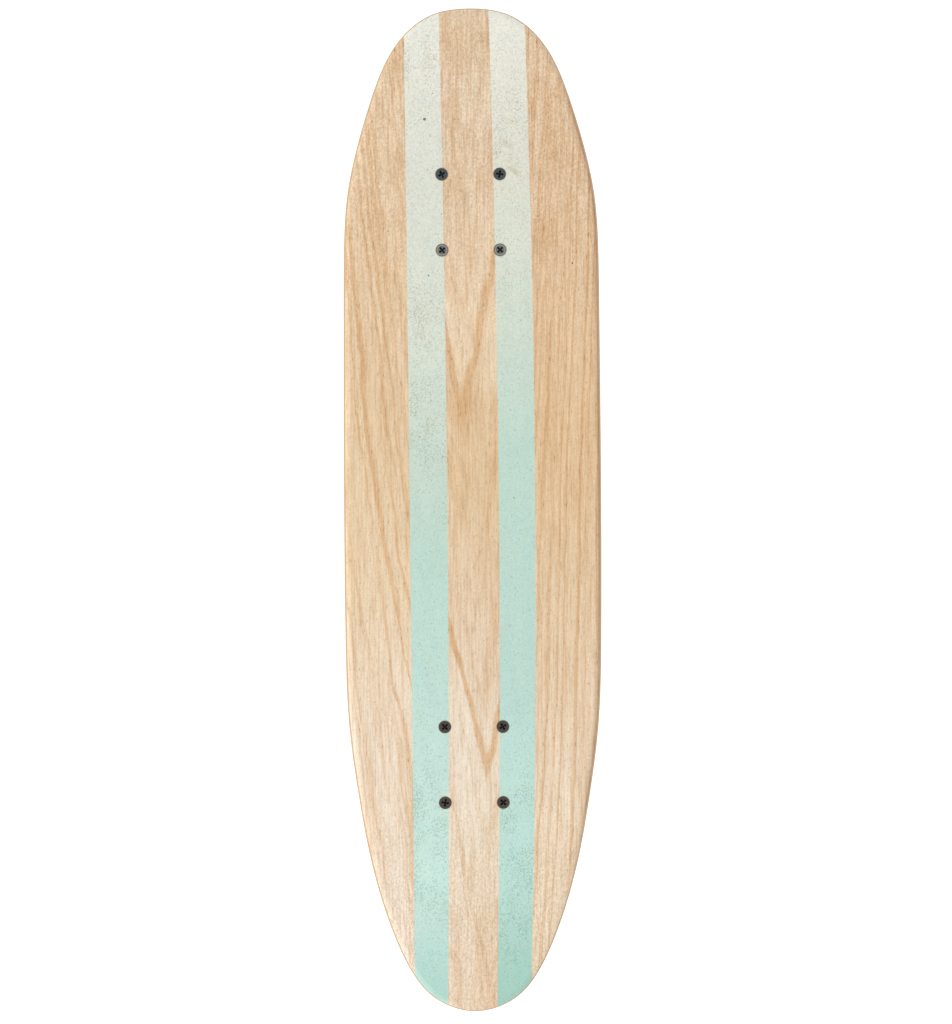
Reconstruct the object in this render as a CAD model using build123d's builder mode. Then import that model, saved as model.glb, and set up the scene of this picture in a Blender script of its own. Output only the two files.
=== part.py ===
from build123d import *
from math import atan2, cos, degrees, radians, sin, tan
import os

# Skateboard: a flat laminated deck on two kingpin trucks, with four wheels on ball bearings.
# Millimetres. +Y points to the nose, +X to the rider's right, +Z up. The wheels stand on Z = 0.

# ---------------------------------------------------------------------------- deck dimensions
DECK_THICKNESS = 12.0
PLIES = 7
EDGE_ROUND = 5.0
# Half of the outline from the nose to the tail, as (half width, distance towards the nose).
OUTLINE = [
    (0, 358), (13, 357.2), (26, 354.1), (41.2, 345), (57.6, 325), (70.4, 295), (80.9, 260),
    (88.2, 225), (91.0, 180), (91.4, 120), (91.8, 50), (91.8, -30), (91.3, -95), (88.9, -155),
    (82.3, -205), (73.0, -254), (60.9, -295), (47.9, -325), (33.2, -345), (17.5, -354.6), (0, -358),
]

# ---------------------------------------------------------------------------- truck dimensions
# Each truck has its own axes: X across the board, Y outwards to the board's end, Z up,
# from the middle of its four bolts, on the face that sits against the riser pad.
FRONT_BOLTS_Y = 212.0
REAR_BOLTS_Y = -181.5
BOLTS_ACROSS = 41.3
BOLTS_ALONG = 54.0
RISER_THICKNESS = 3.0
RISER_MARGIN = 1.0
TRUCK_HEIGHT = 48.0
AXLE_Y = -4.0

PLATE_WIDTH = 55.0
PLATE_LENGTH = 80.0
PLATE_CORNER = 8.0
PLATE_THICKNESS = 5.0
PLATE_EDGE_ROUND = 1.5
PEDESTAL_RADIUS = 14.6
PEDESTAL_FLARE = 20.0
PEDESTAL_EDGE = 1.0

KINGPIN_Y = -12.0
KINGPIN_TILT = 18.0
KINGPIN_RADIUS = 4.75
KINGPIN_FIT = 0.05
KINGPIN_HEAD_FLATS = 14.3
KINGPIN_END_CHAMFER = 1.0
HEAD_CHAMFER = 0.6
HEAD_POCKET_RADIUS = 8.72
# Distances down the kingpin from the plate's top face.
HEAD_TOP = 4.0
HEAD_BOTTOM = 9.0
SEAT = 14.1
RING_MIDDLE = 33.0
KINGPIN_END = 56.5

CUP_WASHER = 1.2
CUP_LIP = 3.0
CUP_WALL = 1.0
CUP_SHOULDER = 0.8
CUP_BACK = 0.4
CUP_DRAFT = 0.2
WASHER_FIT = 0.1
UPPER_WASHER_MARGIN = 0.4
LOWER_WASHER_MARGIN = 0.6
RING_RADIUS = 17.0
RING_THICKNESS = 8.0
RING_BORE = 8.5
RING_SEAT_RADIUS = 12.4
RING_SEAT_DEPTH = 1.5
BUSHING_RADIUS = 12.0
BUSHING_TOP_RADIUS = 11.6
BUSHING_TIP_RADIUS = 9.2
BUSHING_FIT = 0.15
UPPER_BULGE = 0.4
LOWER_BULGE = 0.2
LOWER_BUSHING = 12.0

PIVOT = (0.0, 26.0, -10.5)
PIVOT_TILT = 45.0
PIVOT_BALL = 5.5
PIVOT_GAP = 0.1
PIVOT_STEM_RADIUS = 8.0
PIVOT_STEM_NECK = 20.0
PIVOT_STEM_LENGTH = 24.0
# The ball is a sphere down to this many degrees under its middle, where the stem begins.
PIVOT_BALL_BELOW = 33.0
CUP_RADIUS = 8.0
CUP_MOUTH = 3.5
CUP_MOUTH_FLARE = 1.2
HOUSING_RADIUS = 11.5
HOUSING_EDGE = 1.0

# The rib between the pedestal and the pivot housing, as (Y, Z) in the truck's middle plane.
RIB_OUTLINE = [(KINGPIN_Y, -2), (KINGPIN_Y, -12), (3, -9.5), (14, -7.5), (18, -2)]
RIB_HALF = 3.0

# ---------------------------------------------------------------------------- axle and wheels
HANGER_HALF = 51.0
BARREL_RADIUS = 9.8
BARREL_END_RADIUS = 7.5
BARREL_TAPER = (30.0, 43.0)
# The flat web from the barrel up to the ring, in its own tilted plane.
GUSSET_TILT = 51.0
GUSSET_FOOT = (39.0, 5.0)
GUSSET_WAIST = (19.0, 13.0)
GUSSET_HEAD = (9.0, 34.0)
GUSSET_HALF = 3.5
# The body that joins barrel, ring and pivot stem, as (Y, Z) in the truck's middle plane.
NECK_OUTLINE = [(-10, -34.5), (1, -31.5), (7.5, -20.5), (17.5, -30), (4, -52), (-9, -44)]
NECK_HALF = 8.5
# Room cut away above and below the ring, so that the bushings and their washers pass.
ROOM_ABOVE_RING = 20.0
ROOM_BELOW_RING = 25.0
ROOM_ABOVE_MARGIN = 1.0
ROOM_BELOW_MARGIN = 0.4
AXLE_RADIUS = 3.97
AXLE_HALF = 86.0
AXLE_CHAMFER = 0.8
AXLE_SLIP_BORE = 4.05
SPEED_WASHER = 1.0
SPACER_LENGTH = 10.0
BEARING_WIDTH = 7.0
BEARING_RADIUS = 11.0
BEARING_BORE = 4.0
BALL_RADIUS = 1.95
BALL_CIRCLE = 7.5
BALLS = 7
RACE_RADIUS = 2.05
INNER_LAND = 6.0
OUTER_LAND = 9.0
# Distances along the bearing from its middle.
SHIELD_FACES = (3.0, 3.4)
SHIELD_GAP = 0.3
CAGE_FACES = (-1.2, 2.6)
CAGE_HALF_WALL = 0.8
WHEEL_RADIUS = 29.5
WHEEL_WIDTH = 38.0
WHEEL_LIP = 7.5
WHEEL_HUB_RADIUS = 8.25
WHEEL_SEAT_EDGE = 1.8
WHEEL_DISH = (14.5, 16.6)
WHEEL_DISH_RADIUS = 18.5

# ---------------------------------------------------------------------------- fasteners
BOLT_RADIUS = 2.4
BOLT_LENGTH = 28.6
BOLT_HEAD_RADIUS = 4.45
BOLT_HEAD_ANGLE = 82.0
BOLT_HOLE = 2.7
BOLT_TIP = 0.7
SINK_RADIUS = 4.55
RECESS_WIDTH = 5.4
RECESS_SLOT = 1.4
RECESS_DEPTH = 1.9
RECESS_TAPER = 30.0
# How far each bolt's cross recess is turned: outer left, outer right, inner left, inner right.
FRONT_RECESS_TURNS = [27, -9, 39, 46]
REAR_RECESS_TURNS = [-9, 44, 44, 30]
# Lock nuts, as (across flats, height, collar height, bore).
TRUCK_NUT = (9.5, 3.6, 1.4, BOLT_RADIUS)
KINGPIN_NUT = (14.3, 5.0, 1.6, KINGPIN_RADIUS)
AXLE_NUT = (12.7, 6.0, 2.0, AXLE_RADIUS)
# Radii of a lock nut's collar and of its nylon ring, as shares of the width across flats.
COLLAR_SHARE = 0.44
INSERT_SHARE = 0.39
INSERT_PLAY = 0.2

# ---------------------------------------------------------------------------- derived places
BASEPLATE_TOP = WHEEL_RADIUS + TRUCK_HEIGHT
DECK_BOTTOM = BASEPLATE_TOP + RISER_THICKNESS
DECK_TOP = DECK_BOTTOM + DECK_THICKNESS
AXLE_Z = -TRUCK_HEIGHT
BEARING_OFFSET = (SPACER_LENGTH + BEARING_WIDTH) / 2
STACK_HALF = SPACER_LENGTH / 2 + BEARING_WIDTH
WHEEL_X = HANGER_HALF + SPEED_WASHER + STACK_HALF

TRUCKS = {
    "front": Plane(origin=(0, FRONT_BOLTS_Y, BASEPLATE_TOP)),
    "rear": Plane(origin=(0, REAR_BOLTS_Y, BASEPLATE_TOP), x_dir=(-1, 0, 0)),
}
SIDES = {"left": -1, "right": 1}

KINGPIN_UP = Vector(0, sin(radians(KINGPIN_TILT)), cos(radians(KINGPIN_TILT)))
KINGPIN = Plane(origin=(0, KINGPIN_Y, 0), x_dir=(1, 0, 0), z_dir=KINGPIN_UP)
PIVOT_UP = Vector(0, cos(radians(PIVOT_TILT)), sin(radians(PIVOT_TILT)))
PIVOT_SEAT = Plane(origin=PIVOT, x_dir=(1, 0, 0), z_dir=PIVOT_UP)
AXLE = Plane(origin=(0, AXLE_Y, AXLE_Z), x_dir=(0, 0, 1), z_dir=(1, 0, 0))


def lengthwise(plane):
    """The plane through a plane's own axis: its X is the radius, and its Y runs along the axis."""
    return Plane(origin=plane.origin, x_dir=plane.x_dir, z_dir=-plane.y_dir)


def axis_of(plane):
    return Axis(plane.origin, plane.z_dir)


def ring(inner, outer, low, high):
    """A plain ring about Z."""
    with BuildPart() as plain_ring:
        with BuildSketch(Plane.XY.offset(low)):
            Circle(outer)
            Circle(inner, mode=Mode.SUBTRACT)
        extrude(amount=high - low)
    return plain_ring.part


def save(piece, name):
    piece.label = name
    export_step(piece, f"parts/{name}.step")


def save_at(piece, name, *places):
    """Write a piece, or a group of them, at places given as nested planes or locations."""
    with BuildPart() as placed:
        with Locations(*places):
            add(piece)
    save(placed.part, name)


def in_truck(truck, *places):
    """Places stated in a truck's own axes, as locations on the board."""
    return [truck.location * Location(place) for place in places]


# ---------------------------------------------------------------------------- deck
def deck_outline():
    """One closed smooth curve through the outline's points and their mirror images."""
    other_side = [(-across, along) for across, along in reversed(OUTLINE[1:-1])]
    with BuildSketch() as outline:
        with BuildLine():
            Spline(*OUTLINE, *other_side, periodic=True)
        make_face()
    return outline.sketch


def whole_deck():
    """The pressed board before its plies are told apart, with its edges rounded over."""
    with BuildPart() as deck:
        with BuildSketch(Plane.XY.offset(DECK_BOTTOM)):
            add(deck_outline())
        extrude(amount=DECK_THICKNESS)
        rims = deck.edges().group_by(Axis.Z)
        fillet(rims[0] + rims[-1], radius=EDGE_ROUND)
        with Locations((0, FRONT_BOLTS_Y, DECK_TOP), (0, REAR_BOLTS_Y, DECK_TOP)):
            with GridLocations(BOLTS_ACROSS, BOLTS_ALONG, 2, 2):
                CounterSinkHole(BOLT_HOLE, SINK_RADIUS, counter_sink_angle=BOLT_HEAD_ANGLE)
    return deck.part


def deck_layer(deck, low, high):
    with BuildPart() as layer:
        add(deck)
        split(bisect_by=Plane.XY.offset(high), keep=Keep.BOTTOM)
        split(bisect_by=Plane.XY.offset(low), keep=Keep.TOP)
    return layer.part


def riser_pad():
    with BuildPart() as pad:
        with BuildSketch():
            RectangleRounded(PLATE_WIDTH, PLATE_LENGTH, PLATE_CORNER)
            offset(amount=RISER_MARGIN)
            with GridLocations(BOLTS_ACROSS, BOLTS_ALONG, 2, 2):
                Circle(BOLT_HOLE, mode=Mode.SUBTRACT)
        extrude(amount=RISER_THICKNESS)
    return pad.part


# ---------------------------------------------------------------------------- fasteners
def cross_recess():
    """The room for a cross driver: widest on Z = 0, and narrower downwards."""
    tip = RECESS_WIDTH / 2 - RECESS_DEPTH * tan(radians(RECESS_TAPER))
    with BuildPart() as recess:
        with BuildSketch():
            Rectangle(RECESS_WIDTH, RECESS_SLOT)
            Rectangle(RECESS_SLOT, RECESS_WIDTH)
        extrude(amount=-RECESS_DEPTH)
        with BuildSketch(Plane.XZ):
            with BuildLine():
                Polyline((0, 0), (RECESS_WIDTH / 2, 0), (tip, -RECESS_DEPTH), (0, -RECESS_DEPTH), close=True)
            make_face()
        revolve(axis=Axis.Z, mode=Mode.INTERSECT)
    return recess.part


def truck_bolt():
    """A flat-head bolt with its head's face on Z = 0 and a cross recess."""
    head_depth = (BOLT_HEAD_RADIUS - BOLT_RADIUS) / tan(radians(BOLT_HEAD_ANGLE / 2))
    with BuildPart() as bolt:
        with BuildSketch(Plane.XZ):
            with BuildLine():
                Polyline(
                    (0, 0),
                    (BOLT_HEAD_RADIUS, 0),
                    (BOLT_RADIUS, -head_depth),
                    (BOLT_RADIUS, BOLT_TIP - BOLT_LENGTH),
                    (BOLT_RADIUS - BOLT_TIP, -BOLT_LENGTH),
                    (0, -BOLT_LENGTH),
                    close=True,
                )
            make_face()
        revolve(axis=Axis.Z)
        add(cross_recess(), mode=Mode.SUBTRACT)
    return bolt.part


def lock_nut(flats, height, collar, bore):
    """A hexagon nut standing on Z = 0, with a round collar that holds a nylon ring at its far end."""
    corner = flats / 2 / cos(radians(30))
    bevel = corner - flats / 2
    with BuildPart() as nut:
        with BuildSketch():
            RegularPolygon(flats / 2, 6, major_radius=False)
        extrude(amount=height)
        with BuildSketch(Plane.XZ):
            with BuildLine():
                Polyline(
                    (0, 0),
                    (flats / 2, 0),
                    (corner, bevel / 2),
                    (corner, height - bevel / 2),
                    (flats / 2, height),
                    (0, height),
                    close=True,
                )
            make_face()
        revolve(axis=Axis.Z, mode=Mode.INTERSECT)
        with BuildSketch(Plane.XY.offset(height)):
            Circle(flats * COLLAR_SHARE)
        extrude(amount=collar)
        Hole(bore)
        with BuildSketch(Plane.XY.offset(height)):
            Circle(flats * INSERT_SHARE)
        extrude(amount=collar, mode=Mode.SUBTRACT)
    return nut.part


def nut_insert(flats, height, collar, bore):
    return ring(bore, flats * INSERT_SHARE, height, height + collar - INSERT_PLAY)


# ---------------------------------------------------------------------------- baseplate side
def baseplate():
    """Flange, kingpin pedestal, pivot housing and the rib between them, in one casting."""
    with BuildPart() as plate:
        with BuildSketch(Plane.XY.offset(-PLATE_THICKNESS)):
            RectangleRounded(PLATE_WIDTH, PLATE_LENGTH, PLATE_CORNER)
        extrude(amount=PLATE_THICKNESS)
        fillet(plate.faces().sort_by(Axis.Z)[0].outer_wire().edges(), radius=PLATE_EDGE_ROUND)

        with BuildSketch(lengthwise(KINGPIN)):
            with BuildLine():
                Polyline(
                    (0, HEAD_TOP),
                    (PEDESTAL_FLARE, HEAD_TOP),
                    (PEDESTAL_RADIUS, PEDESTAL_EDGE - SEAT),
                    (PEDESTAL_RADIUS - PEDESTAL_EDGE, -SEAT),
                    (0, -SEAT),
                    close=True,
                )
            make_face()
        revolve(axis=axis_of(KINGPIN))

        with BuildSketch(lengthwise(PIVOT_SEAT)):
            with BuildLine():
                Line((0, HOUSING_RADIUS), (0, -CUP_MOUTH))
                Line((0, -CUP_MOUTH), (HOUSING_RADIUS - HOUSING_EDGE, -CUP_MOUTH))
                Line((HOUSING_RADIUS - HOUSING_EDGE, -CUP_MOUTH), (HOUSING_RADIUS, HOUSING_EDGE - CUP_MOUTH))
                Line((HOUSING_RADIUS, HOUSING_EDGE - CUP_MOUTH), (HOUSING_RADIUS, 0))
                RadiusArc((HOUSING_RADIUS, 0), (0, HOUSING_RADIUS), -HOUSING_RADIUS)
            make_face()
        revolve(axis=axis_of(PIVOT_SEAT))

        with BuildSketch(Plane.YZ):
            with BuildLine():
                Polyline(*RIB_OUTLINE, close=True)
            make_face()
        extrude(amount=RIB_HALF, both=True)

        split(bisect_by=Plane.XY, keep=Keep.BOTTOM)

        with BuildSketch(lengthwise(KINGPIN)):
            with BuildLine():
                Polyline(
                    (0, HEAD_BOTTOM),
                    (HEAD_POCKET_RADIUS, HEAD_BOTTOM),
                    (HEAD_POCKET_RADIUS, -HEAD_BOTTOM),
                    (KINGPIN_RADIUS + KINGPIN_FIT, -HEAD_BOTTOM),
                    (KINGPIN_RADIUS + KINGPIN_FIT, -SEAT - 1),
                    (0, -SEAT - 1),
                    close=True,
                )
            make_face()
        revolve(axis=axis_of(KINGPIN), mode=Mode.SUBTRACT)

        with BuildSketch(lengthwise(PIVOT_SEAT)):
            with BuildLine():
                Polyline((0, CUP_RADIUS), (0, -CUP_MOUTH - 1), (CUP_RADIUS, -CUP_MOUTH - 1), (CUP_RADIUS, 0))
                RadiusArc((CUP_RADIUS, 0), (0, CUP_RADIUS), -CUP_RADIUS)
            make_face()
        revolve(axis=axis_of(PIVOT_SEAT), mode=Mode.SUBTRACT)

        with GridLocations(BOLTS_ACROSS, BOLTS_ALONG, 2, 2):
            Hole(BOLT_HOLE)
    return plate.part


def pivot_cup():
    """A urethane cup about Z with a round seat for the hanger's ball, open downwards."""
    seat = PIVOT_BALL + PIVOT_GAP
    mouth = seat + CUP_MOUTH_FLARE
    with BuildPart() as cup:
        with BuildSketch(Plane.XZ):
            with BuildLine():
                Line((0, CUP_RADIUS), (0, seat))
                RadiusArc((0, seat), (seat, 0), seat)
                Line((seat, 0), (mouth, -CUP_MOUTH))
                Line((mouth, -CUP_MOUTH), (CUP_RADIUS, -CUP_MOUTH))
                Line((CUP_RADIUS, -CUP_MOUTH), (CUP_RADIUS, 0))
                RadiusArc((CUP_RADIUS, 0), (0, CUP_RADIUS), -CUP_RADIUS)
            make_face()
        revolve(axis=Axis.Z)
    return cup.part


def kingpin():
    with BuildPart() as pin:
        with BuildSketch(Plane.XY.offset(-HEAD_BOTTOM)):
            RegularPolygon(KINGPIN_HEAD_FLATS / 2, 6, major_radius=False)
        extrude(amount=HEAD_BOTTOM - HEAD_TOP)
        chamfer(pin.edges().group_by(Axis.Z)[-1], length=HEAD_CHAMFER)
        with BuildSketch(Plane.XY.offset(-HEAD_BOTTOM)):
            Circle(KINGPIN_RADIUS)
        extrude(amount=HEAD_BOTTOM - KINGPIN_END)
        chamfer(pin.edges().group_by(Axis.Z)[0], length=KINGPIN_END_CHAMFER)
    return pin.part


def cup_washer(radius):
    """A dished washer about Z, with its flat back on Z = 0 and its lip pointing down."""
    with BuildPart() as washer:
        with BuildSketch(Plane.XZ):
            with BuildLine():
                Polyline(
                    (KINGPIN_RADIUS + WASHER_FIT, 0),
                    (radius - CUP_BACK, 0),
                    (radius + CUP_SHOULDER, -CUP_SHOULDER),
                    (radius + CUP_WALL, -CUP_LIP),
                    (radius, -CUP_LIP),
                    (radius - CUP_DRAFT, -CUP_WASHER),
                    (KINGPIN_RADIUS + WASHER_FIT, -CUP_WASHER),
                    close=True,
                )
            make_face()
        revolve(axis=Axis.Z)
    return washer.part


def bushing(top, bottom, bulge, height):
    """A urethane bushing about Z from Z = 0 downwards, with a slightly bulged side."""
    bore = KINGPIN_RADIUS + BUSHING_FIT
    with BuildPart() as soft:
        with BuildSketch(Plane.XZ):
            with BuildLine():
                side = ThreePointArc((top, 0), ((top + bottom) / 2 + bulge, -height / 2), (bottom, -height))
                Polyline(side @ 1, (bore, -height), (bore, 0), side @ 0)
            make_face()
        revolve(axis=Axis.Z)
    return soft.part


# ---------------------------------------------------------------------------- hanger side
def hanger():
    """Axle barrel, kingpin ring, gusset, neck and pivot ball, in one casting."""
    gusset = Plane(AXLE.origin, x_dir=(1, 0, 0)).rotated((GUSSET_TILT, 0, 0))
    full, narrow = BARREL_TAPER
    with BuildPart() as casting:
        with BuildSketch(Plane(AXLE.origin, x_dir=(1, 0, 0), z_dir=(0, -1, 0))):
            with BuildLine():
                Line((0, 0), (HANGER_HALF, 0))
                Polyline((HANGER_HALF, 0), (HANGER_HALF, BARREL_END_RADIUS), (narrow, BARREL_END_RADIUS))
                Spline((narrow, BARREL_END_RADIUS), (full, BARREL_RADIUS), tangents=[(-1, 0), (-1, 0)])
                Line((full, BARREL_RADIUS), (0, BARREL_RADIUS))
                mirror(about=Plane.YZ)
            make_face()
        revolve(axis=axis_of(AXLE))

        with BuildSketch(gusset):
            with BuildLine():
                Polyline((0, 0), (GUSSET_FOOT[0], 0), GUSSET_FOOT)
                edge = ThreePointArc(GUSSET_FOOT, GUSSET_WAIST, GUSSET_HEAD)
                Line(edge @ 1, (0, GUSSET_HEAD[1]))
                mirror(about=Plane.YZ)
            make_face()
        extrude(amount=GUSSET_HALF, both=True)

        with BuildSketch(Plane.YZ):
            Polygon(*NECK_OUTLINE, align=None)
        extrude(amount=NECK_HALF, both=True)

        with BuildSketch(KINGPIN.offset(RING_THICKNESS / 2 - RING_MIDDLE)):
            Circle(RING_RADIUS)
        extrude(amount=-RING_THICKNESS)

        with BuildSketch(lengthwise(PIVOT_SEAT)):
            with BuildLine():
                ball = CenterArc((0, 0), PIVOT_BALL, 90, -90 - PIVOT_BALL_BELOW)
                Polyline(
                    ball @ 1,
                    (PIVOT_STEM_RADIUS, -PIVOT_STEM_NECK),
                    (PIVOT_STEM_RADIUS, -PIVOT_STEM_LENGTH),
                    (0, -PIVOT_STEM_LENGTH),
                    ball @ 0,
                )
            make_face()
        revolve(axis=axis_of(PIVOT_SEAT))

        ring_top = RING_THICKNESS / 2 - RING_MIDDLE
        ring_bottom = ring_top - RING_THICKNESS
        with BuildSketch(lengthwise(KINGPIN)):
            with BuildLine():
                Polyline(
                    (0, ring_top + ROOM_ABOVE_RING),
                    (RING_SEAT_RADIUS + ROOM_ABOVE_MARGIN, ring_top + ROOM_ABOVE_RING),
                    (RING_SEAT_RADIUS + ROOM_ABOVE_MARGIN, ring_top),
                    (RING_SEAT_RADIUS, ring_top),
                    (RING_SEAT_RADIUS, ring_top - RING_SEAT_DEPTH),
                    (RING_BORE, ring_top - RING_SEAT_DEPTH),
                    (RING_BORE, ring_bottom + RING_SEAT_DEPTH),
                    (RING_SEAT_RADIUS, ring_bottom + RING_SEAT_DEPTH),
                    (RING_SEAT_RADIUS, ring_bottom),
                    (RING_SEAT_RADIUS + ROOM_BELOW_MARGIN, ring_bottom),
                    (RING_SEAT_RADIUS + ROOM_BELOW_MARGIN, ring_bottom - ROOM_BELOW_RING),
                    (0, ring_bottom - ROOM_BELOW_RING),
                    close=True,
                )
            make_face()
        revolve(axis=axis_of(KINGPIN), mode=Mode.SUBTRACT)

        with BuildSketch(AXLE):
            Circle(AXLE_RADIUS)
        extrude(amount=HANGER_HALF, both=True, mode=Mode.SUBTRACT)
    return casting.part


def axle():
    with BuildPart() as rod:
        with BuildSketch(Plane.XY.offset(-AXLE_HALF)):
            Circle(AXLE_RADIUS)
        extrude(amount=2 * AXLE_HALF)
        chamfer(rod.edges().filter_by(GeomType.CIRCLE), length=AXLE_CHAMFER)
    return rod.part


# ---------------------------------------------------------------------------- bearing and wheel
def race(inner, outer):
    """One ring of a bearing about Z, with its ball groove."""
    with BuildPart() as grooved:
        with BuildSketch(Plane.XZ):
            with Locations(((inner + outer) / 2, 0)):
                Rectangle(outer - inner, BEARING_WIDTH)
            with Locations((BALL_CIRCLE, 0)):
                Circle(RACE_RADIUS, mode=Mode.SUBTRACT)
        revolve(axis=Axis.Z)
    return grooved.part


def balls():
    with BuildPart() as train:
        with PolarLocations(BALL_CIRCLE, BALLS):
            Sphere(BALL_RADIUS)
    return train.part


def cage():
    """A one-piece crown that keeps the balls apart, closed on one side."""
    with BuildPart() as crown:
        add(ring(BALL_CIRCLE - CAGE_HALF_WALL, BALL_CIRCLE + CAGE_HALF_WALL, *CAGE_FACES))
        with PolarLocations(BALL_CIRCLE, BALLS):
            Sphere(RACE_RADIUS, mode=Mode.SUBTRACT)
    return crown.part


def wheel():
    """A urethane wheel about Z, dished on both faces, with a seat for a bearing in each."""
    half = WHEEL_WIDTH / 2
    seat_edge = (BEARING_RADIUS + WHEEL_SEAT_EDGE, STACK_HALF)
    shoulder = (WHEEL_RADIUS - WHEEL_LIP, half)
    tread_edge = (WHEEL_RADIUS, half - WHEEL_LIP)
    with BuildPart() as tyre:
        with BuildSketch(Plane.XZ):
            with BuildLine():
                Polyline(
                    (WHEEL_HUB_RADIUS, 0),
                    (WHEEL_HUB_RADIUS, SPACER_LENGTH / 2),
                    (BEARING_RADIUS, SPACER_LENGTH / 2),
                    (BEARING_RADIUS, STACK_HALF),
                    seat_edge,
                )
                ThreePointArc(seat_edge, WHEEL_DISH, (WHEEL_DISH_RADIUS, half))
                Line((WHEEL_DISH_RADIUS, half), shoulder)
                RadiusArc(shoulder, tread_edge, WHEEL_LIP)
                Line(tread_edge, (WHEEL_RADIUS, 0))
                mirror(about=Plane.XZ)
            make_face()
        revolve(axis=Axis.Z)
    return tyre.part


# ---------------------------------------------------------------------------- writing the nodes
def save_deck():
    deck = whole_deck()
    ply = DECK_THICKNESS / PLIES
    save(deck_layer(deck, DECK_BOTTOM, DECK_BOTTOM + ply), "deck_bottom_veneer")
    save(deck_layer(deck, DECK_TOP - ply, DECK_TOP), "deck_top_veneer")
    core = []
    for count in range(1, PLIES - 1):
        low = DECK_BOTTOM + count * ply
        core.append(deck_layer(deck, low, low + ply).solid())
    save(Compound(children=core), "deck_core_plies")


def save_truck_fasteners():
    bolts = []
    nuts = []
    for end, turns in (("front", FRONT_RECESS_TURNS), ("rear", REAR_RECESS_TURNS)):
        y = TRUCKS[end].origin.Y
        outwards = 1 if end == "front" else -1
        corners = [(-1, outwards), (1, outwards), (-1, -outwards), (1, -outwards)]
        for (across, along), turn in zip(corners, turns):
            hole = (across * BOLTS_ACROSS / 2, y + along * BOLTS_ALONG / 2)
            bolts.append(Location((*hole, DECK_TOP), (0, 0, turn)))
            nuts.append(Location((*hole, BASEPLATE_TOP - PLATE_THICKNESS), (180, 0, turn)))
    save_at(truck_bolt(), "truck_bolts", *bolts)
    save_at(lock_nut(*TRUCK_NUT), "truck_nuts", *nuts)
    save_at(nut_insert(*TRUCK_NUT), "truck_nut_inserts", *nuts)


def save_baseplates():
    lower_seat = RING_MIDDLE + RING_THICKNESS / 2 - RING_SEAT_DEPTH
    upper_bushing = RING_MIDDLE - RING_THICKNESS / 2 + RING_SEAT_DEPTH - SEAT - CUP_WASHER
    washer_back = lower_seat + LOWER_BUSHING + CUP_WASHER
    turned_over = Plane(KINGPIN.offset(-washer_back).origin, x_dir=(1, 0, 0), z_dir=-KINGPIN_UP)
    upper = bushing(BUSHING_TOP_RADIUS, BUSHING_RADIUS, UPPER_BULGE, upper_bushing)
    lower = bushing(BUSHING_RADIUS, BUSHING_TIP_RADIUS, LOWER_BULGE, LOWER_BUSHING)
    upper_washer = cup_washer(BUSHING_RADIUS + UPPER_WASHER_MARGIN)
    lower_washer = cup_washer(BUSHING_TIP_RADIUS + LOWER_WASHER_MARGIN)
    nut_places = []
    for end, truck in TRUCKS.items():
        save_at(riser_pad(), f"{end}_riser_pad", truck)
        save_at(baseplate(), f"{end}_baseplate", truck)
        save_at(pivot_cup(), f"{end}_pivot_cup", in_truck(truck, PIVOT_SEAT))
        save_at(kingpin(), f"{end}_kingpin", in_truck(truck, KINGPIN))
        save_at(upper_washer, f"{end}_upper_washer", in_truck(truck, KINGPIN.offset(-SEAT)))
        save_at(upper, f"{end}_upper_bushing", in_truck(truck, KINGPIN.offset(-SEAT - CUP_WASHER)))
        save_at(lower, f"{end}_lower_bushing", in_truck(truck, KINGPIN.offset(-lower_seat)))
        save_at(lower_washer, f"{end}_lower_washer", in_truck(truck, turned_over))
        save_at(lock_nut(*KINGPIN_NUT), f"{end}_kingpin_nut", in_truck(truck, turned_over))
        nut_places += in_truck(truck, turned_over)
    save_at(nut_insert(*KINGPIN_NUT), "kingpin_nut_inserts", nut_places)


def save_hangers():
    sides = [Plane(AXLE.origin, z_dir=(sign, 0, 0)) for sign in SIDES.values()]
    bearing_faces = [HANGER_HALF + SPEED_WASHER, HANGER_HALF + SPEED_WASHER + BEARING_WIDTH + SPACER_LENGTH]
    outer_face = bearing_faces[1] + BEARING_WIDTH
    washer = ring(AXLE_SLIP_BORE, INNER_LAND, 0, SPEED_WASHER)
    spacer = ring(AXLE_SLIP_BORE, INNER_LAND, -SPACER_LENGTH / 2, SPACER_LENGTH / 2)
    for end, truck in TRUCKS.items():
        washers = [side.offset(face) for side in sides for face in (HANGER_HALF, outer_face)]
        rings = [side.offset(face + BEARING_WIDTH / 2) for side in sides for face in bearing_faces]
        spacers = [side.offset(WHEEL_X) for side in sides]
        nuts = [side.offset(outer_face + SPEED_WASHER) for side in sides]
        save_at(hanger(), f"{end}_hanger", truck)
        save_at(axle(), f"{end}_axle", in_truck(truck, AXLE))
        save_at(washer, f"{end}_speed_washers", in_truck(truck, *washers))
        save_at(race(BEARING_BORE, INNER_LAND), f"{end}_bearing_inner_rings", in_truck(truck, *rings))
        save_at(spacer, f"{end}_bearing_spacers", in_truck(truck, *spacers))
        save_at(lock_nut(*AXLE_NUT), f"{end}_axle_nuts", in_truck(truck, *nuts))
        save_at(nut_insert(*AXLE_NUT), f"{end}_axle_nut_inserts", in_truck(truck, *nuts))


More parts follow.
